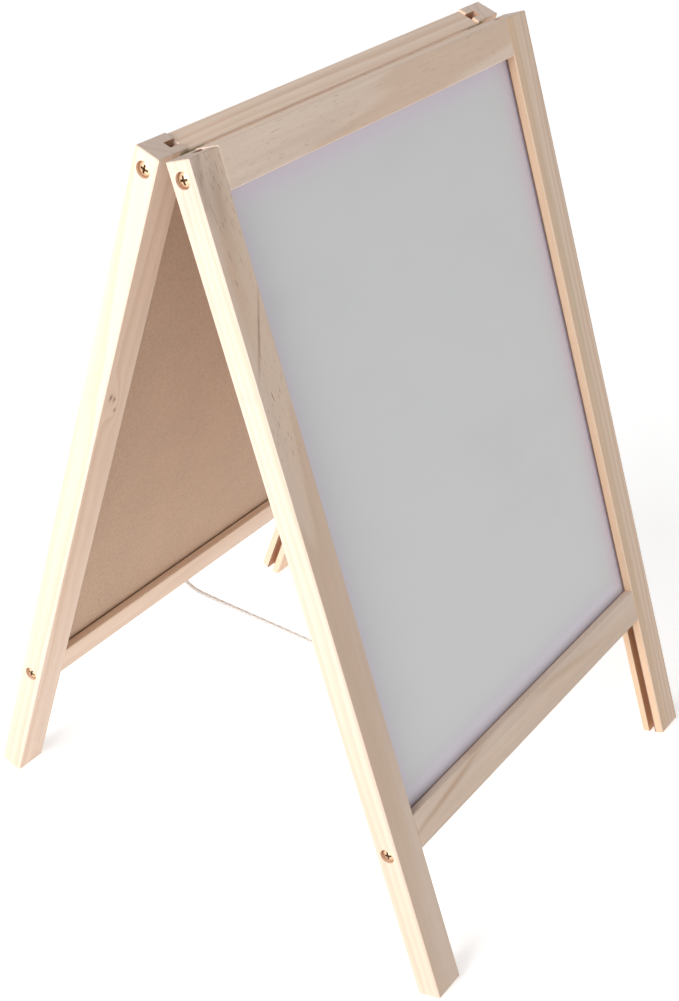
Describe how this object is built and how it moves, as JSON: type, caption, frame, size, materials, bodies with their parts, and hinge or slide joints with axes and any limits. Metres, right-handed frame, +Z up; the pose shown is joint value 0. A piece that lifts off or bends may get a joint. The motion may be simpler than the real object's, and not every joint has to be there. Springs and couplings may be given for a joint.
{
  "type": "tabletop kids easel",
  "caption": "Folding tabletop easel: two hinged pine frames with a white drawing board in front, a chalkboard behind and a stay cord between the bottom rails.",
  "frame": {"origin": "on the table, under the hinges, on the centre line between the frames", "axes": "X across the boards; the white drawing board faces -Y; +Z up"},
  "size_m": [0.314, 0.3586, 0.4771],
  "materials": {
    "pine": "sanded, unfinished",
    "hardboard": "raw pressed fibre",
    "whiteboard": "smooth satin film",
    "chalkboard": "matt paint",
    "zinc_screw": "yellow zinc plate",
    "hinge_brass": "dull antique brass",
    "staple_steel": "bright wire",
    "cotton_cord": "braided cotton"
  },
  "bodies": {
    "front_frame": {"front_left_stile": "pine", "front_right_stile": "pine", "front_top_rail": "pine", "front_bottom_rail": "pine", "front_board": "hardboard", "white_sheet": "whiteboard", "front_upper_left_screw": "zinc_screw", "front_upper_right_screw": "zinc_screw", "front_lower_left_screw": "zinc_screw", "front_lower_right_screw": "zinc_screw", "left_hinge_front_leaf": "hinge_brass", "left_hinge_pin": "hinge_brass", "left_hinge_front_screws": "hinge_brass", "right_hinge_front_leaf": "hinge_brass", "right_hinge_pin": "hinge_brass", "right_hinge_front_screws": "hinge_brass", "front_cord_staple": "staple_steel", "stay_cord": "cotton_cord"},
    "rear_frame": {"rear_left_stile": "pine", "rear_right_stile": "pine", "rear_top_rail": "pine", "rear_bottom_rail": "pine", "rear_board": "hardboard", "chalk_sheet": "chalkboard", "rear_upper_left_screw": "zinc_screw", "rear_upper_right_screw": "zinc_screw", "rear_lower_left_screw": "zinc_screw", "rear_lower_right_screw": "zinc_screw", "left_hinge_rear_leaf": "hinge_brass", "left_hinge_rear_screws": "hinge_brass", "right_hinge_rear_leaf": "hinge_brass", "right_hinge_rear_screws": "hinge_brass", "rear_cord_staple": "staple_steel"}
  },
  "joints": [
    {"name": "fold", "type": "hinge", "parent": "front_frame", "child": "rear_frame", "pos_m": [0, 0, 0.46862], "axis": [-1, 0, 0], "range_deg": [0, 38], "deforming": ["stay_cord"]}
  ]
}
